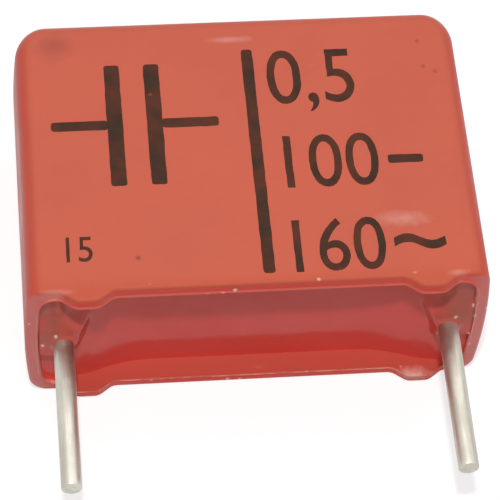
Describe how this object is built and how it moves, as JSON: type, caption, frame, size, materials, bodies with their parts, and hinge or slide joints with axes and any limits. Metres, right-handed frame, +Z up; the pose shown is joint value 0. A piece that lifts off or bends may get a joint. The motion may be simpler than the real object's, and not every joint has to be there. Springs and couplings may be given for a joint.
{
  "type": "box film capacitor",
  "caption": "Rectangular moulded film capacitor box, potted with resin at its footed open end, with straight wire leads on a standard pitch for a circuit board.",
  "frame": {"origin": "midway between the leads, on the plane of the feet that seats on a board, at half the box's thickness", "axes": "the box lies on its back: +X along the box and the lead pitch, -Y the way the leads leave, +Z up out of the marked front face"},
  "size_m": [0.018, 0.0196, 0.007],
  "materials": {
    "case_red": "satin moulded plastic",
    "resin_red": "glossy cast resin",
    "tinned_wire": "bright tinned wire",
    "sprayed_metal": "matt sprayed zinc",
    "wound_film": "metallised film"
  },
  "bodies": {
    "root": {"case": "case_red", "resin": "resin_red", "lead_left": "tinned_wire", "lead_right": "tinned_wire", "end_contact_left": "sprayed_metal", "end_contact_right": "sprayed_metal", "film_winding": "wound_film"}
  },
  "joints": []
}
